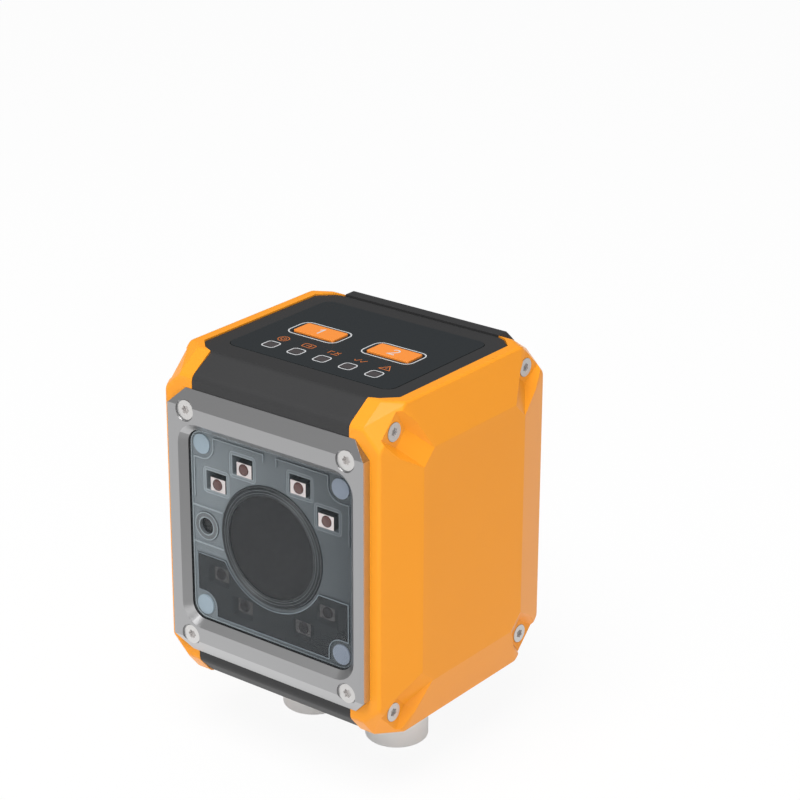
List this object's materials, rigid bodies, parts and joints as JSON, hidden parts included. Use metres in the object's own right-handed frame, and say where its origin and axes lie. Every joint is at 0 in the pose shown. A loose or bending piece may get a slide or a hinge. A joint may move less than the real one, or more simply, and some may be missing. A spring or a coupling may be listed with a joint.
{
  "type": "vision sensor",
  "caption": "Boxed industrial vision sensor with side covers, a flat window over a lens and lights, a key panel on top and capped round connectors below.",
  "frame": {"origin": "centre of the bounding box at its base, where the two connector caps stand", "axes": "window faces -Y, back with the mounting holes faces +Y, key panel faces +Z, +X to the right when seen from the back"},
  "size_m": [0.075, 0.0696, 0.1057],
  "materials": {
    "orange_shell": "satin moulded shell",
    "dark_housing": "fine matt dark coating",
    "grey_bezel": "bead blasted and anodised",
    "screw_steel": "bright plated",
    "seal_rubber": "matt",
    "window_clear": "clear, polished",
    "stud_blue": "pale satin",
    "frame_grey": "moulded, light grey",
    "filter_smoke": "smoked, polished",
    "led_white": "moulded",
    "led_red": "tinted dome",
    "board_green": "solder mask",
    "barrel_black": "satin anodised",
    "glass_dark": "dark coated glass",
    "lens_glass": "coated glass",
    "black_plastic": "moulded",
    "pad_grey": "soft pad",
    "panel_film": "satin film",
    "key_orange": "satin",
    "lamp_smoke": "translucent",
    "metal_silver": "plated",
    "contact_gold": "gold plated",
    "cap_grey": "moulded, light grey"
  },
  "bodies": {
    "sensor": {"left_cover": "orange_shell", "right_cover": "orange_shell", "left_cover_screws": "screw_steel", "right_cover_screws": "screw_steel", "mid_housing": "dark_housing", "rear_cover": "dark_housing", "rear_gasket": "seal_rubber", "rear_screws": "screw_steel", "front_bezel": "grey_bezel", "bezel_screws": "screw_steel", "front_window": "window_clear", "window_gasket": "seal_rubber", "window_studs": "stud_blue", "light_frame": "frame_grey", "lower_filter": "filter_smoke", "upper_leds": "led_white", "upper_led_domes": "led_red", "lower_leds": "led_white", "lower_led_domes": "led_red", "light_board": "board_green", "lens_barrel": "barrel_black", "lens_glass": "glass_dark", "lens_group": "lens_glass", "lens_mount": "black_plastic", "aimer_tube": "barrel_black", "aimer_lens": "lens_glass", "image_sensor": "black_plastic", "sensor_board": "board_green", "board_spacers": "metal_silver", "rear_spacers": "metal_silver", "main_board": "board_green", "processor": "black_plastic", "thermal_pad": "pad_grey", "key_panel": "panel_film", "key_switches": "metal_silver", "keypad_board": "board_green", "keypad_screws": "metal_silver", "indicator_lenses": "lamp_smoke", "indicator_leds": "led_white", "connector_shells": "metal_silver", "connector_inserts": "black_plastic", "connector_pins": "contact_gold", "connector_nuts": "metal_silver", "connector_seals": "seal_rubber", "left_cap": "cap_grey", "right_cap": "cap_grey"},
    "trigger_key": {"trigger_key": "key_orange"},
    "tune_key": {"tune_key": "key_orange"}
  },
  "joints": [
    {"name": "trigger_press", "type": "slide", "parent": "sensor", "child": "trigger_key", "axis": [0, 0, -1], "range_m": [0, 0.0004], "stiffness_N_per_m": 3000, "springref_m": -0.0002},
    {"name": "tune_press", "type": "slide", "parent": "sensor", "child": "tune_key", "axis": [0, 0, -1], "range_m": [0, 0.0004], "stiffness_N_per_m": 3000, "springref_m": -0.0002}
  ]
}
